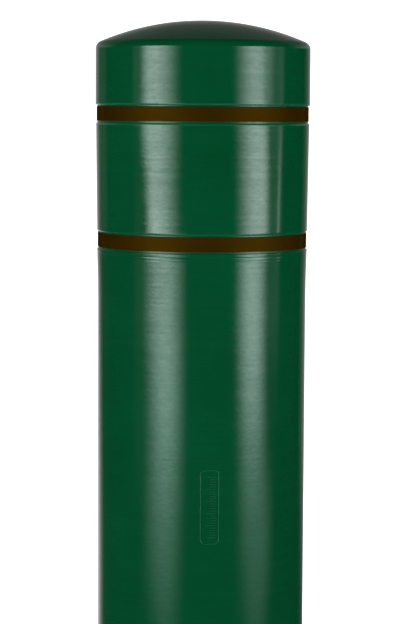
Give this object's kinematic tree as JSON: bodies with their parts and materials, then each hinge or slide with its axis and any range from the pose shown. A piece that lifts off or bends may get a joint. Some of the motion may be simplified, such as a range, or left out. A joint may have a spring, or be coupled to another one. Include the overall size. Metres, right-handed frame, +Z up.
{
  "type": "bollard cover sleeve",
  "caption": "Tall round plastic sleeve with a shallow domed top and recessed tape bands that slips over a pipe bollard and grips it with foam strips inside.",
  "frame": {"origin": "centre of the open bottom rim, which is the face that the sleeve stands on", "axes": "+Z up along the axis of the tube, towards the domed top; the front, with the raised moulded frame, faces -Y; +X is right as seen from the front"},
  "size_m": [0.1895, 0.1896, 1.32],
  "materials": {
    "green_plastic": "gloss",
    "brown_tape": "satin",
    "foam": "matte"
  },
  "bodies": {
    "root": {"sleeve_shell": "green_plastic", "upper_tape_band": "brown_tape", "lower_tape_band": "brown_tape", "lower_foam_front": "foam", "lower_foam_right": "foam", "lower_foam_back": "foam", "lower_foam_left": "foam", "upper_foam_front": "foam", "upper_foam_right": "foam", "upper_foam_back": "foam", "upper_foam_left": "foam"}
  },
  "joints": []
}
